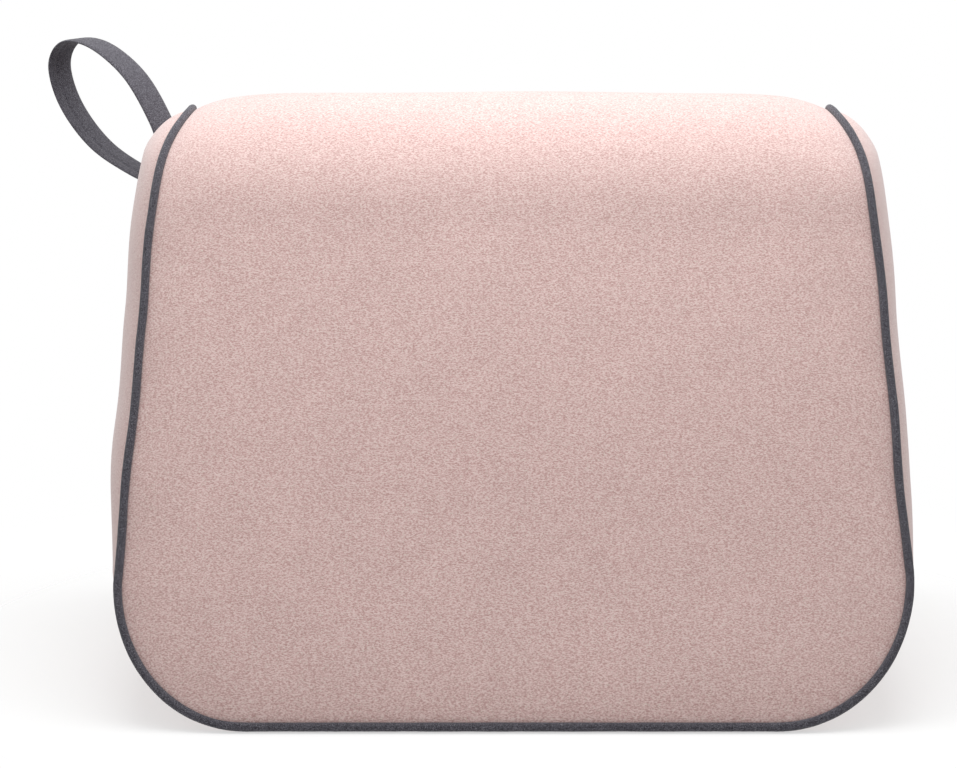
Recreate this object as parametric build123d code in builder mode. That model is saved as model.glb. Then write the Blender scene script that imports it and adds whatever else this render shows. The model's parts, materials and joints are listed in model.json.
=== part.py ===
"""Upholstered incline wedge: a foam wedge in a removable felt cover with a strap loop.

The body is the space shared by two prisms: the side profile (slope, rolled crest, upright back)
run along X, and the front outline (tapered, with round corners) run along Y. One wrap panel goes
up the slope, over the crest and down the back. Gussets and a base panel close the other sides,
and a corded piping follows the whole seam. A zip crosses the back close above the floor, and a
strap loop is sewn to the seam at the back of the crest's left end.

Frame: +Z up, the slope faces -Y, origin at the middle of the base on the floor. Millimetres.
"""

import os
from math import asin, atan2, cos, degrees, hypot, radians, sin, sqrt

from build123d import *

# ---- Body ------------------------------------------------------------------------------------
base_width = 546.0  # across the gussets at the floor
side_lean = 3.2  # degrees each side leans in
body_height = 392.0  # floor to the top of the crest
base_depth = 400.0  # front edge of the base to the back panel
crest_radius = 88.0  # roll from the slope over to the back
corner_radius = 98.0  # lower corners of the front outline
shoulder_radius = 90.0  # where the sides curl in at the crest
shoulder_rise = 32.0  # top of the outline above the crest, which cuts the curl short

# ---- Layers ----------------------------------------------------------------------------------
cover_thickness = 2.4
base_thickness = 5.0  # quilted base panel
liner_thickness = 0.8
wadding_thickness = 12.0
layer_gap = 0.1
liner_ease = 0.7  # more room between the cover and the liner, for the seam's piping

# ---- Piping ----------------------------------------------------------------------------------
piping_radius = 2.9
sleeve_thickness = 0.8
seam_clearance = 0.15
base_seam_x = 150.0  # seams between the base panel and the gussets

# ---- Zip -------------------------------------------------------------------------------------
zip_height = 64.0
chain_length = 400.0
tooth_pitch = 4.0
tooth_width = 1.5
tooth_reach = 1.2  # from the centre line to each row's spine
tooth_tip_gap = 0.2  # between a tooth's tip and the other row's spine
row_spine = 1.4
chain_thickness = 2.6
tape_width = 13.0
tape_thickness = 0.6
tape_overrun = 14.0
zip_window = 12.0
stop_length = 2.4
slider_length = 12.0
slider_height = 9.0
slider_plate = 1.1
slider_play = 0.3
post_length = 1.2  # joins the slider's plates, past the end of the closed chain
post_zone = 2.5
arch_width = 2.4
arch_span = 7.0
arch_rise = 2.6
arch_thickness = 0.9
pull_length = 27.0
pull_width = 7.0
pull_thickness = 1.0
pull_hole = 3.2

# ---- Strap loop ------------------------------------------------------------------------------
handle_angle = 16.0  # degrees round the crest from the level of its centre
strap_width = 24.0
strap_thickness = 2.6
strap_swing = 38.0  # degrees the loop points back from straight out
root_clearance = 1.9  # between the rolled root and the piping
strap_route = [  # centre line in the loop's plane: outward, upward, from the hinge line
    (1.0, 10.0),
    (14.0, 38.0),
    (40.0, 70.0),
    (76.0, 92.0),
    (104.0, 92.0),
    (115.0, 74.0),
    (104.0, 46.0),
    (74.0, 18.0),
    (36.0, 0.0),
    (1.0, -10.0),
]
strap_bend = 11.0
root_radius = 2.0
root_length = 24.0
bar_tack_length = 7.0
tack_distance = 8.0  # from each end of the strap
bar_tack_proud = 0.5

# ---- Label -----------------------------------------------------------------------------------
label_length = 32.0
label_width = 25.0
label_thickness = 0.8
label_height = 110.0
label_side = 190.0

# ---- Worked out from the above ---------------------------------------------------------------
span = 2 * (base_width + base_depth)
back_y = base_depth / 2
crest_y = back_y - crest_radius
crest_z = body_height - crest_radius
run = base_depth - crest_radius
slope_angle = degrees(atan2(crest_z, run) + asin(crest_radius / hypot(run, crest_z)))
seam_inset = cover_thickness + layer_gap - (piping_radius + seam_clearance) / sqrt(2)
seam_floor = piping_radius + seam_clearance
edge_inset = seam_inset + piping_radius + seam_clearance
edge_floor = seam_floor + piping_radius + seam_clearance
liner_inset = cover_thickness + layer_gap + liner_ease
liner_floor = base_thickness + 2 * layer_gap
wadding_step = liner_thickness + layer_gap
foam_step = wadding_step + wadding_thickness + layer_gap
chain_y = back_y - cover_thickness - layer_gap - tape_thickness / 2
slider_half = chain_thickness / 2 + slider_play + slider_plate
zip_pocket_length = chain_length + 2 * tape_overrun + 4.0
zip_pocket_height = 2 * tape_width + 6.0
zip_pocket_depth = back_y - chain_y + slider_half + 0.6


def side_profile(inset):
    """Closed side profile, its sides moved in by the inset and its lower end past the floor."""
    radius = crest_radius - inset
    lean = radians(slope_angle)
    tangent = (crest_y - radius * sin(lean), crest_z + radius * cos(lean))
    depth = tangent[1] + 2 * corner_radius
    toe = (tangent[0] - depth / sin(lean) * cos(lean), tangent[1] - depth)
    with BuildSketch(Plane.YZ) as profile:
        with BuildLine():
            Line(toe, tangent)
            ThreePointArc(tangent, (crest_y, crest_z + radius), (crest_y + radius, crest_z))
            Line((crest_y + radius, crest_z), (crest_y + radius, toe[1]))
            Line((crest_y + radius, toe[1]), toe)
        make_face()
    return profile.sketch


def front_outline(inset, floor):
    """Closed front outline, its sides moved in by the inset and its lower edge at floor."""
    top = body_height + shoulder_rise - inset
    lean = radians(side_lean)
    low_half = base_width / 2 - floor * sin(lean) / cos(lean) - inset / cos(lean)
    high_half = base_width / 2 - top * sin(lean) / cos(lean) - inset / cos(lean)
    corners = [(-low_half, floor), (low_half, floor), (high_half, top), (-high_half, top)]
    with BuildSketch(Plane.XZ) as outline:
        with BuildLine():
            Polyline(*corners, close=True)
        make_face()
        fillet(outline.vertices().group_by(Axis.Y)[0], radius=corner_radius - inset)
        fillet(outline.vertices().group_by(Axis.Y)[-1], radius=shoulder_radius - inset)
    return outline.sketch


def wedge_solid(inset, floor, side_inset=None):
    """The body, moved in by the inset all round, with its underside at floor."""
    outline_inset = inset if side_inset is None else side_inset
    with BuildPart() as wedge:
        extrude(side_profile(inset), amount=span, both=True)
        extrude(front_outline(outline_inset, floor), amount=span, both=True, mode=Mode.INTERSECT)
    return wedge.part


def back_box(length, height, inner_depth, outer_depth=0.0):
    """A box at the zip, between two depths in from the back panel's face."""
    depth = inner_depth - outer_depth
    place = Pos(0, back_y - outer_depth - depth / 2, zip_height)
    return place * Box(length, depth, height)


def save(piece, name):
    """Label a finished piece and write its file."""
    piece.label = name
    export_step(piece, f"parts/{name}.step")


os.makedirs("parts", exist_ok=True)

# ---- Filling: foam, wadding and calico liner, all hollowed behind the zip ----------------------
foam_inset = liner_inset + foam_step
wadding_inset = liner_inset + wadding_step
foam_solid = wedge_solid(foam_inset, liner_floor + foam_step)
wadding_inner = wedge_solid(foam_inset - layer_gap, liner_floor + foam_step - layer_gap)
wadding_outer = wedge_solid(wadding_inset, liner_floor + wadding_step)
liner_inner = wedge_solid(wadding_inset - layer_gap, liner_floor + wadding_step - layer_gap)
liner_outer = wedge_solid(liner_inset, liner_floor)
pocket = back_box(zip_pocket_length, zip_pocket_height, zip_pocket_depth, -cover_thickness)
pocket_wall = 2 * liner_thickness
liner_pocket = back_box(
    zip_pocket_length + pocket_wall, zip_pocket_height + pocket_wall,
    zip_pocket_depth + liner_thickness, -cover_thickness,
)
wadding_pocket = back_box(
    zip_pocket_length + pocket_wall + 2 * layer_gap, zip_pocket_height + pocket_wall + 2 * layer_gap,
    zip_pocket_depth + wadding_step, -cover_thickness,
)

with BuildPart() as foam_core:
    add(foam_solid)
save(foam_core.part, "foam_core")

with BuildPart() as wadding_wrap:
    add(wadding_outer)
    add(wadding_inner, mode=Mode.SUBTRACT)
    add(wadding_pocket, mode=Mode.SUBTRACT)
save(wadding_wrap.part, "wadding_wrap")

with BuildPart() as inner_liner:
    add(liner_outer)
    add(liner_inner, mode=Mode.SUBTRACT)
    add(liner_outer & liner_pocket)
    add(pocket, mode=Mode.SUBTRACT)
save(inner_liner.part, "inner_liner")

# ---- Cover: wrap panel, back strip, gussets and base panel -------------------------------------
cover_outer = wedge_solid(0, edge_floor, side_inset=edge_inset)
cover_inner = wedge_solid(cover_thickness, 0, side_inset=0)
below_zip = zip_height - zip_window / 2
above_zip = zip_height + zip_window / 2

with BuildPart() as wrap_panel:
    add(cover_outer)
    add(cover_inner, mode=Mode.SUBTRACT)
    with Locations((0, back_y, 0)):
        Box(span, crest_radius, 2 * above_zip, mode=Mode.SUBTRACT)
save(wrap_panel.part, "wrap_panel")

with BuildPart() as back_strip:
    add(cover_outer)
    add(cover_inner, mode=Mode.SUBTRACT)
    with Locations((0, back_y, 0)):
        Box(span, crest_radius, 2 * below_zip, mode=Mode.INTERSECT)
save(back_strip.part, "back_strip")

boxing_outer = wedge_solid(edge_inset, 0, side_inset=0)
boxing_inner = wedge_solid(0, base_thickness, side_inset=cover_thickness)
gusset_edge = base_seam_x + layer_gap / 2

with BuildPart() as left_gusset:
    add(boxing_outer)
    add(boxing_inner, mode=Mode.SUBTRACT)
    with Locations((-gusset_edge - span / 2, 0, 0)):
        Box(span, span, span, mode=Mode.INTERSECT)
save(left_gusset.part, "left_gusset")

with BuildPart() as right_gusset:
    add(mirror(left_gusset.part, about=Plane.YZ))
save(right_gusset.part, "right_gusset")

with BuildPart() as base_panel:
    add(boxing_outer)
    add(boxing_inner, mode=Mode.SUBTRACT)
    Box(2 * base_seam_x - layer_gap, span, span, mode=Mode.INTERSECT)
save(base_panel.part, "base_panel")

# ---- Piping: a sleeve round a cord, all round the seam ------------------------------------------
seam_body = wedge_solid(seam_inset, seam_floor)
panel_edges = seam_body.edges().filter_by(Axis.X)
seam_edges = seam_body.edges() - seam_body.edges().filter_by(Axis.Y) - panel_edges
seam_edges += panel_edges.group_by(Axis.Z)[0]
seam_path = Wire.combine(seam_edges)[0]
seam_start = Plane(seam_path.position_at(0), z_dir=seam_path.tangent_at(0))
cord_radius = piping_radius - sleeve_thickness

with BuildPart() as piping_sleeve:
    with BuildSketch(seam_start):
        Circle(piping_radius)
        Circle(cord_radius, mode=Mode.SUBTRACT)
    sweep(path=seam_path, transition=Transition.ROUND)
save(piping_sleeve.part, "piping_sleeve")

with BuildPart() as piping_cord:
    with BuildSketch(seam_start):
        Circle(cord_radius - layer_gap)
    sweep(path=seam_path, transition=Transition.ROUND)
save(piping_cord.part, "piping_cord")

# ---- Zip: two tapes, two rows of teeth and the end stops ----------------------------------------
zip_plane = Plane(origin=(0, chain_y, zip_height), x_dir=(1, 0, 0), z_dir=(0, -1, 0))
row_depth = tooth_reach + row_spine
tooth_count = int((chain_length - tooth_pitch) / tooth_pitch)
tooth_length = 2 * tooth_reach + row_spine / 2 - tooth_tip_gap  # from inside its own spine

with BuildPart() as zip_tape_upper:
    with BuildSketch(zip_plane):
        with Locations((0, row_depth + layer_gap + tape_width / 2)):
            Rectangle(chain_length + 2 * tape_overrun, tape_width)
    extrude(amount=tape_thickness / 2, both=True)
save(zip_tape_upper.part, "zip_tape_upper")

with BuildPart() as zip_teeth_upper:
    with BuildSketch(zip_plane):
        with Locations((0, tooth_reach + row_spine / 2)):
            Rectangle(chain_length, row_spine)
        with Locations((0, tooth_tip_gap / 2 + row_spine / 4)):
            with GridLocations(tooth_pitch, 0, tooth_count, 1):
                Rectangle(tooth_width, tooth_length)
    extrude(amount=chain_thickness / 2, both=True)
save(zip_teeth_upper.part, "zip_teeth_upper")

zip_middle = Plane.XY.offset(zip_height)
with BuildPart() as zip_tape_lower:
    add(mirror(zip_tape_upper.part, about=zip_middle))
save(zip_tape_lower.part, "zip_tape_lower")

with BuildPart() as zip_teeth_lower:
    with BuildSketch(zip_plane):
        with Locations((0, -tooth_reach - row_spine / 2)):
            Rectangle(chain_length, row_spine)
        with Locations((tooth_pitch / 2, -tooth_tip_gap / 2 - row_spine / 4)):
            with GridLocations(tooth_pitch, 0, tooth_count, 1):
                Rectangle(tooth_width, tooth_length)
    extrude(amount=chain_thickness / 2, both=True)
save(zip_teeth_lower.part, "zip_teeth_lower")

stop_x = chain_length / 2 + post_zone + slider_play + stop_length / 2
for name, side in (("zip_stop_left", -1), ("zip_stop_right", 1)):
    with BuildPart() as zip_stop:
        with BuildSketch(zip_plane):
            with Locations((side * stop_x, 0)):
                Rectangle(stop_length, 2 * row_depth)
        extrude(amount=chain_thickness / 2, both=True)
    save(zip_stop.part, name)

# ---- Slider and pull tab: the slider rests closed at the right-hand end --------------------------
slider_x = chain_length / 2 - slider_length / 2 + post_zone
slider_travel = chain_length - slider_length + post_zone
channel_height = 2 * (row_depth + slider_play)
slider_plane = Plane(origin=(slider_x, chain_y, zip_height), x_dir=(1, 0, 0), z_dir=(0, 1, 0))
arch_plane = Plane(origin=(slider_x, chain_y + slider_half, zip_height), z_dir=(0, 0, 1))

with BuildPart() as zip_slider:
    with BuildSketch(slider_plane):
        RectangleRounded(slider_length, slider_height, 1.5)
    extrude(amount=slider_half, both=True)
    with Locations(Plane(origin=slider_plane.origin)):
        Box(slider_length, 2 * slider_half - 2 * slider_plate, channel_height, mode=Mode.SUBTRACT)
        Box(slider_length, tape_thickness + 2 * slider_play, slider_height, mode=Mode.SUBTRACT)
    with BuildSketch(arch_plane):
        Rectangle(arch_span, 2 * arch_rise)
        Rectangle(arch_span - 2 * arch_thickness, 2 * (arch_rise - arch_thickness), mode=Mode.SUBTRACT)
        with Locations((0, -arch_rise)):
            Rectangle(arch_span, 2 * arch_rise, mode=Mode.SUBTRACT)
    extrude(amount=arch_width / 2, both=True)
    with Locations((slider_x + slider_length / 2 - post_length, chain_y, zip_height)):
        Box(post_length, 2 * slider_half, 2 * (row_depth - slider_play))
save(zip_slider.part, "zip_slider")

# The tab's bar lies across the slider, under the arch, and the tab lies back along the chain.
tab_y = chain_y + slider_half + (arch_rise - arch_thickness) / 2
tab_plane = Plane(origin=(slider_x, tab_y, zip_height), x_dir=(1, 0, 0), z_dir=(0, -1, 0))
tab_window_width = arch_width + 2 * slider_play + 0.4
tab_window_length = arch_span / 2 + 2.5
tab_bar = pull_thickness

with BuildPart() as zip_pull_tab:
    with BuildSketch(tab_plane):
        with Locations((tab_bar / 2 - pull_length / 2, 0)):
            Rectangle(pull_length, pull_width)
        with Locations((-tab_bar / 2 - tab_window_length / 2, 0)):
            Rectangle(tab_window_length, tab_window_width, mode=Mode.SUBTRACT)
        with Locations((4 - pull_length, 0)):
            Circle(pull_hole / 2, mode=Mode.SUBTRACT)
    extrude(amount=pull_thickness / 2, both=True)
    fillet(zip_pull_tab.edges().filter_by(Axis.Y).group_by(Axis.X)[0], radius=2.5)
save(zip_pull_tab.part, "zip_pull_tab")

# ---- Strap loop: both ends are sewn to a rolled root that swings beside the seam ------------------
seam_angle = radians(handle_angle)
strap_stand_off = piping_radius + root_radius + root_clearance
swing = radians(strap_swing)
seam_z = crest_z + crest_radius * sin(seam_angle)
seam_y = crest_y + crest_radius * cos(seam_angle)
seam_x = -(base_width / 2 - seam_z * sin(radians(side_lean)) / cos(radians(side_lean)))
hinge = (seam_x - strap_stand_off * cos(swing), seam_y + strap_stand_off * sin(swing), seam_z)
strap_plane = Plane(origin=hinge, x_dir=(-cos(swing), sin(swing), 0), z_dir=(sin(swing), cos(swing), 0))

with BuildPart() as handle_strap:
    with BuildSketch(strap_plane):
        with BuildLine():
            FilletPolyline(*strap_route, radius=strap_bend)
        trace(line_width=strap_thickness)
    extrude(amount=strap_width / 2, both=True)
    with Locations(Plane(origin=hinge)):
        Cylinder(root_radius, root_length)
save(handle_strap.part, "handle_strap")

tack_inner = strap_thickness + 2 * layer_gap
with BuildPart() as handle_bar_tacks:
    for end, neighbour in ((strap_route[0], strap_route[1]), (strap_route[-1], strap_route[-2])):
        near = Vector(*end)
        far = Vector(*neighbour)
        heading = (far - near).normalized()
        tack_start = near + heading * tack_distance
        tack_end = tack_start + heading * bar_tack_length
        with BuildSketch(strap_plane):
            with BuildLine():
                Line(tack_start, tack_end)
            trace(line_width=tack_inner + 2 * bar_tack_proud)
        extrude(amount=strap_width / 2 - 2, both=True)
    for end, neighbour in ((strap_route[0], strap_route[1]), (strap_route[-1], strap_route[-2])):
        with BuildSketch(strap_plane):
            with BuildLine():
                Line(end, neighbour)
            trace(line_width=tack_inner)
        extrude(amount=strap_width, both=True, mode=Mode.SUBTRACT)
save(handle_bar_tacks.part, "handle_bar_tacks")

# ---- Blank care label, sewn to the back -----------------------------------------------------------
with BuildPart() as care_label:
    with Locations((-label_side, back_y + label_thickness / 2 + layer_gap, label_height)):
        Box(label_width, label_thickness, label_length)
save(care_label.part, "care_label")

print("hinge", [round(value, 2) for value in hinge])
print("slider", slider_x, chain_y, zip_height, "tab hinge y", tab_y)
print("travel", slider_travel)
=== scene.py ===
import json
from math import atan2, cos, pi, sin, sqrt

import bmesh
import bpy
import numpy as np
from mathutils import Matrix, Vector, noise


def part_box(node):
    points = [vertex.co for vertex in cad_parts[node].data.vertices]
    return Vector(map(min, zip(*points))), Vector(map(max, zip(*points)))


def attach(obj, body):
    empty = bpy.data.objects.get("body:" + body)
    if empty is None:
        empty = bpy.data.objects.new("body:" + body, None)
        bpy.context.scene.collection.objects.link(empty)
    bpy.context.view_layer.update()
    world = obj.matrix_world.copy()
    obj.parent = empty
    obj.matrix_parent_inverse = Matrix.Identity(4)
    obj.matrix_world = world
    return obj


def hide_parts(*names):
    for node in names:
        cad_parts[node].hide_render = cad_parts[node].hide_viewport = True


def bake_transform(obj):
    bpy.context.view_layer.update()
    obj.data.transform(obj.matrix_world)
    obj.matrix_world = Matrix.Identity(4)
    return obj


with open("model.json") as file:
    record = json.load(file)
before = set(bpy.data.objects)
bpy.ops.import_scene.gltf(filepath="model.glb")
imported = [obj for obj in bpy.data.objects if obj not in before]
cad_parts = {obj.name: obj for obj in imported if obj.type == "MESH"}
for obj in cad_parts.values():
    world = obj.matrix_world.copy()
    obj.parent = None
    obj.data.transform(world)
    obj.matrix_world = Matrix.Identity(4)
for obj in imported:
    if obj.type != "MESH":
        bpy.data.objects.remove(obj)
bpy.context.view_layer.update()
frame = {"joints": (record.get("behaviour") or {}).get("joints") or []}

# ---- Sizes, in metres, from the frame ----------------------------------------------------------
wrap_low, wrap_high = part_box("wrap_panel")
pipe_low, pipe_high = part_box("piping_sleeve")
zip_low, zip_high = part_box("zip_slider")
PIPE_RADIUS = 0.0030
SEAM_HEIGHT = pipe_low[2] + PIPE_RADIUS
HALF_WIDTH = pipe_high[0] - PIPE_RADIUS + 0.0034  # at the floor
LEAN = 0.0559  # the sides lean in by this much per metre of height
CREST_TOP = wrap_high[2] - 0.004
CREST_RADIUS = 0.118
FRONT_Y = pipe_low[1] + PIPE_RADIUS
BACK_Y = wrap_high[1]
CREST_Y = BACK_Y - CREST_RADIUS
CREST_Z = CREST_TOP - CREST_RADIUS
CORNER = {-1: 0.086, 1: 0.091}  # lower corner radius, left and right
SHOULDER_Z = 0.325
SHOULDER_CURL = 0.016
ZIP_Z = (zip_low[2] + zip_high[2]) / 2
ZIP_GAP = 0.0056
CROWN = 0.010  # how far the panels stand out past their seams
SIDE_SWELL = {-1: 0.024, 1: 0.021}


def slope_angle():
    run = CREST_Y - FRONT_Y
    rise = CREST_Z - SEAM_HEIGHT
    return atan2(rise, run) + np.arcsin(CREST_RADIUS / sqrt(run * run + rise * rise))


SLOPE = slope_angle()
TANGENT_Z = CREST_Z + CREST_RADIUS * cos(SLOPE)


def front_y(z):
    """Depth of the slope and of the crest's front at height z."""
    if z <= TANGENT_Z:
        return FRONT_Y + (z - SEAM_HEIGHT) / np.tan(SLOPE)
    return CREST_Y - sqrt(max(CREST_RADIUS**2 - (z - CREST_Z) ** 2, 0))


def back_y(z):
    """Depth of the back and of the crest's rear at height z."""
    if z <= CREST_Z:
        return BACK_Y
    return CREST_Y + sqrt(max(CREST_RADIUS**2 - (z - CREST_Z) ** 2, 0))


def waver(side, z):
    """The seam's small unevenness."""
    bend = noise.noise(Vector((side * 3.1, z * 16.0, 0.7)))
    return 0.0022 * bend


def half_outline(side):
    """Front outline from the middle of the base to the crest's top, as (x, z) points."""
    radius = CORNER[side]
    centre_x = HALF_WIDTH - LEAN * radius - radius
    points = [(x, SEAM_HEIGHT) for x in np.linspace(0, centre_x, 26)]
    for turn in np.linspace(0, pi / 2, 26)[1:]:
        points.append((centre_x + radius * sin(turn), SEAM_HEIGHT + radius * (1 - cos(turn))))
    low = SEAM_HEIGHT + radius
    straight = np.linspace(low, CREST_Z, 30)[1:]
    crest = CREST_Z + CREST_RADIUS * np.sin(np.linspace(0, pi / 2, 36)[1:])
    for z in np.concatenate([straight, crest]):
        curl = max(z - SHOULDER_Z, 0) / (CREST_TOP - SHOULDER_Z)
        sewn = waver(side, z) * min((z - low) / 0.05, 1.0)
        x = HALF_WIDTH - LEAN * z - SHOULDER_CURL * curl**3 + sewn
        points.append((x, z))
    points = np.array(points)
    points[:, 0] *= side
    return points


OUTLINE = {side: half_outline(side) for side in (-1, 1)}
FIRST_UPRIGHT = 25  # the outline's point where the lower corner begins


def grid_mesh(name, rows, material, closed=False):
    """A mesh from rows of equally many points; closed joins the last column to the first."""
    rows = np.asarray(rows)
    count, width = rows.shape[:2]
    faces = []
    for r in range(count - 1):
        for c in range(width if closed else width - 1):
            d = (c + 1) % width
            faces.append((r * width + c, r * width + d, (r + 1) * width + d, (r + 1) * width + c))
    mesh = bpy.data.meshes.new(name)
    mesh.from_pydata(rows.reshape(-1, 3).tolist(), [], faces)
    mesh.polygons.foreach_set("use_smooth", [True] * len(faces))
    mesh.materials.append(material)
    piece = bpy.data.objects.new(name, mesh)
    bpy.context.collection.objects.link(piece)
    return piece


def tidy(piece, thickness=0.0):
    """Weld doubled points, face outward and give cloth its thickness, inward."""
    work = bmesh.new()
    work.from_mesh(piece.data)
    bmesh.ops.remove_doubles(work, verts=work.verts, dist=2e-5)
    bmesh.ops.recalc_face_normals(work, faces=work.faces)
    middle = Vector((0, 0.05, 0.18))
    outward = sum((f.calc_center_median() - middle).dot(f.normal) * f.calc_area() for f in work.faces)
    if outward < 0:
        bmesh.ops.reverse_faces(work, faces=work.faces)
    work.to_mesh(piece.data)
    work.free()
    if thickness:
        cloth = piece.modifiers.new("cloth", "SOLIDIFY")
        cloth.thickness = thickness
        cloth.offset = -1
    return piece


# ---- Materials ---------------------------------------------------------------------------------
def felt(name, colours, fleck, scale=1.0, bump=0.35, sheen=0.45):
    """Milled wool felt: melange fibres in several shades, a fuzzy surface and a soft sheen."""
    material = bpy.data.materials.new(name)
    material.use_nodes = True
    nodes, links = material.node_tree.nodes, material.node_tree.links
    shader = nodes["Principled BSDF"]
    place = nodes.new("ShaderNodeTexCoord").outputs["Object"]

    def noise_at(stretch, size, detail=3.0, rough=0.6):
        mapping = nodes.new("ShaderNodeMapping")
        mapping.inputs["Scale"].default_value = stretch
        links.new(place, mapping.inputs["Vector"])
        texture = nodes.new("ShaderNodeTexNoise")
        texture.inputs["Scale"].default_value = size * scale
        texture.inputs["Detail"].default_value = detail
        texture.inputs["Roughness"].default_value = rough
        links.new(mapping.outputs["Vector"], texture.inputs["Vector"])
        return texture.outputs["Fac"]

    def ramp(factor, stops):
        node = nodes.new("ShaderNodeValToRGB")
        node.color_ramp.elements[0].position = stops[0][0]
        node.color_ramp.elements[0].color = (*stops[0][1], 1)
        node.color_ramp.elements[1].position = stops[-1][0]
        node.color_ramp.elements[1].color = (*stops[-1][1], 1)
        for position, colour in stops[1:-1]:
            node.color_ramp.elements.new(position).color = (*colour, 1)
        links.new(factor, node.inputs["Fac"])
        return node.outputs["Color"]

    def mix(factor, low, high, blend="MIX"):
        node = nodes.new("ShaderNodeMix")
        node.data_type = "RGBA"
        node.blend_type = blend
        if isinstance(factor, float):
            node.inputs["Factor"].default_value = factor
        else:
            links.new(factor, node.inputs["Factor"])
        links.new(low, node.inputs[6])
        links.new(high, node.inputs[7])
        return node.outputs[2]

    streaks = noise_at((1.0, 2.2, 2.2), 620.0)
    grains = noise_at((1.0, 1.0, 1.0), 1150.0, 2.0)
    clouds = noise_at((1.0, 1.0, 1.0), 30.0, 4.0)
    fibre = ramp(streaks, [(0.40, colours[0]), (0.5, colours[1]), (0.60, colours[2])])
    speck = ramp(grains, [(0.56, (0, 0, 0)), (0.68, (1, 1, 1))])
    fleck_node = nodes.new("ShaderNodeRGB")
    fleck_node.outputs[0].default_value = (*fleck, 1)
    colour = mix(speck, fibre, fleck_node.outputs[0])
    shade = ramp(clouds, [(0.3, (0.97, 0.97, 0.97)), (0.7, (1.02, 1.02, 1.02))])
    links.new(mix(1.0, colour, shade, "MULTIPLY"), shader.inputs["Base Color"])
    shader.inputs["Roughness"].default_value = 0.95
    shader.inputs["Sheen Weight"].default_value = sheen
    shader.inputs["Sheen Roughness"].default_value = 0.55
    shader.inputs["Specular IOR Level"].default_value = 0.15
    rough = nodes.new("ShaderNodeBump")
    rough.inputs["Strength"].default_value = bump
    rough.inputs["Distance"].default_value = 0.0006
    height = mix(0.5, streaks, grains)
    links.new(height, rough.inputs["Height"])
    links.new(rough.outputs["Normal"], shader.inputs["Normal"])
    return material


def plain(name, colour, roughness=0.6, metallic=0.0):
    material = bpy.data.materials.new(name)
    material.use_nodes = True
    shader = material.node_tree.nodes["Principled BSDF"]
    shader.inputs["Base Color"].default_value = (*colour, 1)
    shader.inputs["Roughness"].default_value = roughness
    shader.inputs["Metallic"].default_value = metallic
    texture = material.node_tree.nodes.new("ShaderNodeTexNoise")
    texture.inputs["Scale"].default_value = 1500
    bump = material.node_tree.nodes.new("ShaderNodeBump")
    bump.inputs["Strength"].default_value = 0.15
    bump.inputs["Distance"].default_value = 0.0002
    material.node_tree.links.new(texture.outputs["Fac"], bump.inputs["Height"])
    material.node_tree.links.new(bump.outputs["Normal"], shader.inputs["Normal"])
    return material


pink = felt("felt_pink", [(0.47, 0.29, 0.27), (0.62, 0.42, 0.40), (0.74, 0.57, 0.54)],
            (0.66, 0.56, 0.50))
charcoal = felt("felt_charcoal", [(0.022, 0.020, 0.027), (0.055, 0.050, 0.062), (0.11, 0.105, 0.125)],
                (0.26, 0.26, 0.29), scale=1.6, bump=0.6, sheen=0.15)
thread = plain("thread", (0.03, 0.03, 0.035))
label_cloth = plain("label", (0.72, 0.70, 0.66), 0.7)
zip_metal = plain("zip_metal", (0.06, 0.06, 0.07), 0.35, 0.8)
zip_teeth = plain("zip_teeth", (0.36, 0.23, 0.22), 0.45)
zip_tape = plain("zip_tape", (0.40, 0.27, 0.26), 0.85)


# ---- Cover panels ------------------------------------------------------------------------------
def puff(distance, reach):
    """0 at a seam, rising steeply and levelling off at 1."""
    return 1 - np.exp(-distance / reach)


def profile_point(z, rear):
    """Point and outward normal of the side profile at height z."""
    y = back_y(z) if rear else front_y(z)
    if not rear and z <= TANGENT_Z:
        return y, (-sin(SLOPE), cos(SLOPE))
    if rear and z <= CREST_Z:
        return y, (1.0, 0.0)
    return y, ((y - CREST_Y) / CREST_RADIUS, (z - CREST_Z) / CREST_RADIUS)


def wrap_row(left, right, rear):
    """One row of the wrap panel, between the seam points left and right of it."""
    row = []
    for u in (1 - np.cos(np.linspace(0, pi, 150))) / 2:
        x = left[0] + (right[0] - left[0]) * u
        z = left[1] + (right[1] - left[1]) * u
        y, normal = profile_point(z, rear)
        to_side = min(u, 1 - u) * (right[0] - left[0])
        along = (z - SEAM_HEIGHT) / (1.0 if rear else sin(SLOPE))
        lift = puff(to_side, 0.024) * (puff(along, 0.020) if z < CREST_Z else 1.0)
        height = CROWN + 0.003 * min(max((z - 0.31) / 0.07, 0), 1)
        if rear:
            height *= puff(abs(z - ZIP_Z) - ZIP_GAP + 1e-4, 0.035)
        pucker = noise.noise(Vector((x * 34, y * 20, z * 34))) * 0.0011 * np.exp(-to_side / 0.03)
        wave = noise.noise(Vector((x * 7, y * 7, z * 7))) * 0.0016
        lift = lift * (height + wave) + pucker * puff(to_side, 0.004)
        row.append((x, y + normal[0] * lift, z + normal[1] * lift))
    return row


def wrap_rows(rear, low=0.0, high=1.0):
    """Rows of the wrap panel from its lower edge to the crest, front or rear."""
    rows = []
    for index in range(FIRST_UPRIGHT, len(OUTLINE[1])):
        left, right = OUTLINE[-1][index], OUTLINE[1][index]
        middle = (left[1] + right[1]) / 2
        if low <= middle <= high:
            rows.append(wrap_row(left, right, rear))
    return rows


def cut_row(z):
    """A row across the back at exactly height z, between the seams."""
    ends = []
    for side in (-1, 1):
        upright = OUTLINE[side][FIRST_UPRIGHT:]
        ends.append((side * float(np.interp(z, upright[:, 1], abs(upright[:, 0]))), z))
    return wrap_row(ends[0], ends[1], True)


def turned_in(row, up):
    """The folded edge beside the zip: the cloth turns in towards the tape."""
    return [(x, y - 0.0020, z + up * 0.0006) for x, y, z in row]


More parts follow.
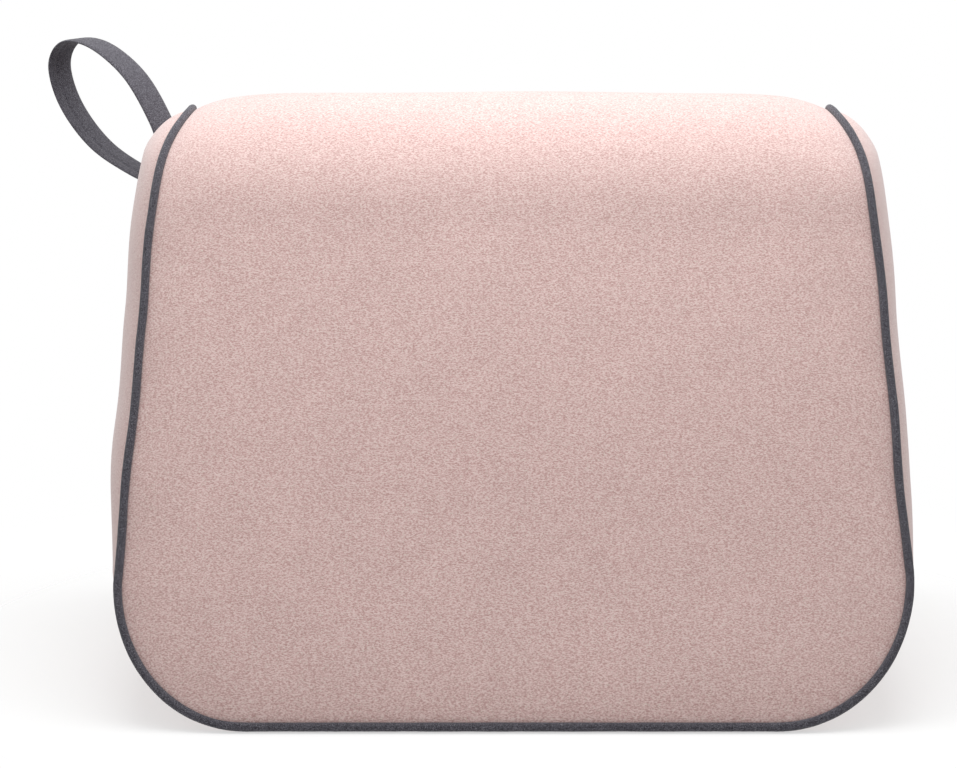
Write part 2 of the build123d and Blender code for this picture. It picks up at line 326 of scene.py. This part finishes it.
front_rows = wrap_rows(False)
rear_rows = wrap_rows(True, low=ZIP_Z + ZIP_GAP + 0.002)
edge = cut_row(ZIP_Z + ZIP_GAP)
wrap = grid_mesh("wrap_cover", front_rows + rear_rows[::-1][1:] + [edge, turned_in(edge, -1)], pink)
tidy(wrap, 0.002)
lower_edge = cut_row(ZIP_Z - ZIP_GAP)
strip_rows = wrap_rows(True, high=ZIP_Z - ZIP_GAP - 0.002)
strip = grid_mesh("back_strip_cover", strip_rows + [lower_edge, turned_in(lower_edge, 1)], pink)
tidy(strip, 0.002)


def zip_end_patch(side):
    """Beyond each end of the zip the two edges are sewn together, a shallow seam."""
    rows = []
    for z in np.linspace(ZIP_Z - ZIP_GAP - 0.0016, ZIP_Z + ZIP_GAP + 0.0016, 9):
        row = [point for point in cut_row(z) if side * point[0] > zip_end]
        fold = 0.0022 * np.exp(-(((z - ZIP_Z) / 0.0016) ** 2))
        rows.append([(x, y - 0.0002 - fold, height) for x, y, height in row])
    width = min(len(row) for row in rows)
    return [row[:width] if side < 0 else row[-width:] for row in rows]


zip_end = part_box("zip_stop_right")[1][0] + 0.001
for name, side in (("zip_end_left", -1), ("zip_end_right", 1)):
    patch = tidy(grid_mesh(name, zip_end_patch(side), pink), 0.001)
    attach(patch, "root")


def label_rows():
    """The blank label lies on the crowned back panel, its corners lifting a little."""
    low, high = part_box("care_label")
    rows = []
    for v in np.linspace(0, 1, 14):
        z = low[2] + (high[2] - low[2]) * v
        panel = np.array(cut_row(z))
        row = []
        for u in np.linspace(0, 1, 12):
            x = low[0] + (high[0] - low[0]) * u
            lift = 0.0010 + 0.0016 * (1 - v) ** 2 * (1 + 0.5 * sin(4 * u))
            row.append((x, float(np.interp(x, panel[:, 0], panel[:, 1])) + lift, z))
        rows.append(row)
    return rows


label = tidy(grid_mesh("blank_label", label_rows(), label_cloth), 0.0005)
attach(label, "root")
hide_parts("care_label")


def boxing_rows(side, first, last):
    """Rows of the gusset or base between the front and rear seams, for a stretch of the outline."""
    points = OUTLINE[side]
    tangents = np.gradient(points, axis=0)
    rows = []
    for index in range(first, last):
        x, z = points[index]
        normal = np.array([tangents[index][1], -tangents[index][0]]) * side
        normal /= np.linalg.norm(normal)
        near, far = front_y(z), back_y(z)
        row = []
        for v in (1 - np.cos(np.linspace(0, pi, 90))) / 2:
            y = near + (far - near) * v
            to_seam = min(v, 1 - v) * (far - near)
            rise = min(z / 0.17, 1.0)
            upright = 0.12 + 0.88 * rise * rise * (3 - 2 * rise)
            swell = SIDE_SWELL[side] * upright * puff(to_seam, 0.030)
            swell *= min(1.0, (far - near) / 0.16)
            swell += noise.noise(Vector((x * 8, y * 8, z * 8))) * 0.002 * puff(to_seam, 0.03)
            row.append((x + normal[0] * swell, y, max(z + normal[1] * swell, 0.0004)))
        rows.append(row)
    return rows


SEAM_INDEX = 14
covers = {"left_gusset": -1, "right_gusset": 1}
for node, side in covers.items():
    gusset = grid_mesh(node + "_cover", boxing_rows(side, SEAM_INDEX, len(OUTLINE[side])), pink)
    tidy(gusset, 0.002)
    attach(gusset, "root")
    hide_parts(node)
base_rows = boxing_rows(-1, 0, SEAM_INDEX + 1)[::-1] + boxing_rows(1, 0, SEAM_INDEX + 1)[1:]
base = grid_mesh("base_cover", base_rows, pink)
tidy(base, 0.0015)
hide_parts("wrap_panel", "inner_liner", "wadding_wrap", "foam_core")
for piece, node in ((wrap, "wrap_panel"), (strip, "back_strip"), (base, "base_panel")):
    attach(piece, "root")
    if piece is not wrap:
        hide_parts(node)


# ---- Piping ------------------------------------------------------------------------------------
def seam_loop():
    """The seam's centre line, all the way round, with the direction out of the body."""
    points = []
    for rear, sides in ((False, (-1, 1)), (True, (1, -1))):
        for side in sides:
            down = side == sides[0]
            line = OUTLINE[side][::-1] if down else OUTLINE[side]
            for x, z in line[:-1]:
                y, normal = profile_point(z, rear)
                points.append((x, y, z, normal[0], normal[1]))
    return points


def tube(name, centres, radius, material, sides=14, closed=True):
    """A round tube along a line, its thickness a little uneven."""
    line = np.array(centres)
    ahead = np.roll(line, -1, axis=0) - np.roll(line, 1, axis=0)
    if not closed:
        ahead[0], ahead[-1] = line[1] - line[0], line[-1] - line[-2]
    rows = []
    side = np.cross(ahead[0], (0, 0, 1))
    if np.linalg.norm(side) < 1e-9:
        side = np.array((1.0, 0, 0))
    for index, (point, direction) in enumerate(zip(line, ahead)):
        direction = direction / np.linalg.norm(direction)
        side = side - direction * side.dot(direction)
        side /= np.linalg.norm(side)
        other = np.cross(direction, side)
        size = radius * (1 + 0.06 * noise.noise(Vector(point * 60)))
        turns = np.linspace(0, 2 * pi, sides, endpoint=False)
        rows.append([point + size * (cos(t) * side + sin(t) * other) for t in turns])
    if closed:
        rows.append(rows[0])
    return grid_mesh(name, rows, material, closed=True)


def evened(points, step):
    """Points spaced evenly along a line."""
    points = np.array(points)
    lengths = np.concatenate([[0], np.cumsum(np.linalg.norm(np.diff(points, axis=0), axis=1))])
    at = np.linspace(0, lengths[-1], int(lengths[-1] / step))
    return np.stack([np.interp(at, lengths, points[:, k]) for k in range(3)], axis=1)


loop = []
for x, y, z, out_y, out_z in seam_loop():
    outward = 0.0016 * np.sign(x) * min(z / 0.10, 1.0)
    loop.append((x + outward, y + 0.0012 * out_y, max(z + 0.0012 * out_z, PIPE_RADIUS + 0.0004)))
loop.append(loop[0])
piping = tube("piping", evened(loop, 0.004)[:-1], PIPE_RADIUS, charcoal)
tidy(piping)
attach(piping, "root")
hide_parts("piping_sleeve", "piping_cord")

# ---- Strap loop --------------------------------------------------------------------------------
hinge = Vector(next(j for j in frame["joints"] if j["name"] == "handle_swing")["pos_m"])
SWING = np.radians(38.0)
OUT = Vector((-cos(SWING), sin(SWING), 0))
ACROSS = Vector((sin(SWING), cos(SWING), 0))
STRAP_WIDTH = 0.024
STRAP_THICKNESS = 0.0026
STRAP_ROUTE = [(-0.012, 0.007), (0.001, 0.011), (0.014, 0.040), (0.042, 0.075), (0.080, 0.097),
               (0.112, 0.099), (0.126, 0.080), (0.114, 0.049), (0.082, 0.019), (0.039, 0.000),
               (0.001, -0.010), (-0.012, -0.012)]


def smooth_route(points, steps=16):
    """A smooth curve through the points, by the Catmull-Rom rule."""
    points = [Vector(p) for p in points]
    points = [2 * points[0] - points[1], *points, 2 * points[-1] - points[-2]]
    result = []
    for a, b, c, d in zip(points, points[1:], points[2:], points[3:]):
        for t in np.linspace(0, 1, steps, endpoint=False):
            result.append(0.5 * (2 * b + (c - a) * t + (2 * a - 5 * b + 4 * c - d) * t * t
                                 + (3 * b - a - 3 * c + d) * t**3))
    result.append(points[-2])
    return result


def strap_section():
    """Rounded flat section, with the shallow groove of the felt's folded edge on its inner face."""
    half, thick = STRAP_WIDTH / 2, STRAP_THICKNESS / 2
    across = half * np.sin(np.linspace(-pi / 2, pi / 2, 26))
    swell = thick * np.sqrt(np.clip(1 - (across / half) ** 6, 0, 1))
    groove = 0.0011 * np.exp(-(((across + half * 0.35) / 0.0009) ** 2))
    outer = list(zip(across, swell))
    inner = list(zip(across[::-1][1:-1], (-swell + groove)[::-1][1:-1]))
    return outer + inner


def strap_rows():
    route = smooth_route(STRAP_ROUTE)
    rows = []
    for index, point in enumerate(route):
        ahead = (route[min(index + 1, len(route) - 1)] - route[max(index - 1, 0)]).normalized()
        away = Vector((-ahead.y, ahead.x))
        twist = 0.10 * sin(index / len(route) * 2 * pi)
        row = []
        for a, t in strap_section():
            along, off = a * cos(twist) - t * sin(twist), a * sin(twist) + t * cos(twist)
            flat = Vector(point) + away * off
            row.append(hinge + OUT * flat.x + Vector((0, 0, 1)) * flat.y + ACROSS * along)
        rows.append(row)
    return rows


strap = grid_mesh("strap_loop", strap_rows(), charcoal, closed=True)
work = bmesh.new()
work.from_mesh(strap.data)
bmesh.ops.holes_fill(work, edges=[e for e in work.edges if e.is_boundary])
bmesh.ops.recalc_face_normals(work, faces=work.faces)
work.to_mesh(strap.data)
work.free()
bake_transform(strap)
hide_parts("handle_strap")

# ---- Finishes of the CAD pieces that show ---------------------------------------------------------
finishes = {
    "zip_slider": zip_metal, "zip_pull_tab": zip_metal, "zip_stop_left": zip_metal,
    "zip_stop_right": zip_metal, "zip_teeth_upper": zip_teeth, "zip_teeth_lower": zip_teeth,
    "zip_tape_upper": zip_tape, "zip_tape_lower": zip_tape,
    "handle_bar_tacks": thread,
}
for node, material in finishes.items():
    for slot in bpy.data.objects[node].material_slots:
        slot.material = material

# ---- Floor, light and camera -----------------------------------------------------------------------
bpy.ops.mesh.primitive_circle_add(vertices=96, radius=1.1, fill_type="NGON")
floor = bpy.context.object
floor.name = "floor"
floor_material = plain("floor_white", (0.95, 0.95, 0.95), 0.9)
floor.data.materials.append(floor_material)
fade_nodes, fade_links = floor_material.node_tree.nodes, floor_material.node_tree.links
radius_node = fade_nodes.new("ShaderNodeVectorMath")
radius_node.operation = "LENGTH"
fade_links.new(fade_nodes.new("ShaderNodeTexCoord").outputs["Object"], radius_node.inputs[0])
fade = fade_nodes.new("ShaderNodeMapRange")
fade.inputs["From Min"].default_value = 0.28
fade.inputs["From Max"].default_value = 0.60
fade.inputs["To Min"].default_value = 0.45
fade.inputs["To Max"].default_value = 0.0
fade_links.new(radius_node.outputs["Value"], fade.inputs["Value"])
fade_links.new(fade.outputs["Result"], fade_nodes["Principled BSDF"].inputs["Alpha"])

world = bpy.data.worlds.new("world")
bpy.context.scene.world = world
world.use_nodes = True
nodes, links = world.node_tree.nodes, world.node_tree.links
plain_light = nodes["Background"]
plain_light.inputs["Color"].default_value = (1, 1, 1, 1)
plain_light.inputs["Strength"].default_value = 0.62
seen = nodes.new("ShaderNodeBackground")
seen.inputs["Color"].default_value = (1, 1, 1, 1)
seen.inputs["Strength"].default_value = 1.0
choice = nodes.new("ShaderNodeMixShader")
links.new(nodes.new("ShaderNodeLightPath").outputs["Is Camera Ray"], choice.inputs["Fac"])
links.new(plain_light.outputs["Background"], choice.inputs[1])
links.new(seen.outputs["Background"], choice.inputs[2])
links.new(choice.outputs["Shader"], nodes["World Output"].inputs["Surface"])


def softbox(name, place, aim, size, power):
    light = bpy.data.lights.new(name, "AREA")
    light.size = size
    light.energy = power
    lamp = bpy.data.objects.new(name, light)
    lamp.location = place
    lamp.rotation_euler = (Vector(aim) - Vector(place)).to_track_quat("-Z", "Y").to_euler()
    bpy.context.collection.objects.link(lamp)


softbox("top", (0.0, 0.12, 1.05), (0, 0.10, 0.35), 1.0, 10.8)

camera_data = bpy.data.cameras.new("camera")
camera = bpy.data.objects.new("camera", camera_data)
bpy.context.collection.objects.link(camera)
bpy.context.scene.camera = camera
PITCH = np.radians(10.2)
DISTANCE = 2.0
AIM = Vector((-0.024, -0.06, 0.2095))
camera.location = AIM + Vector((0, -cos(PITCH), sin(PITCH))) * DISTANCE
camera.rotation_euler = (AIM - camera.location).to_track_quat("-Z", "Y").to_euler()
camera_data.lens = 108
bpy.context.scene.view_settings.view_transform = "Standard"
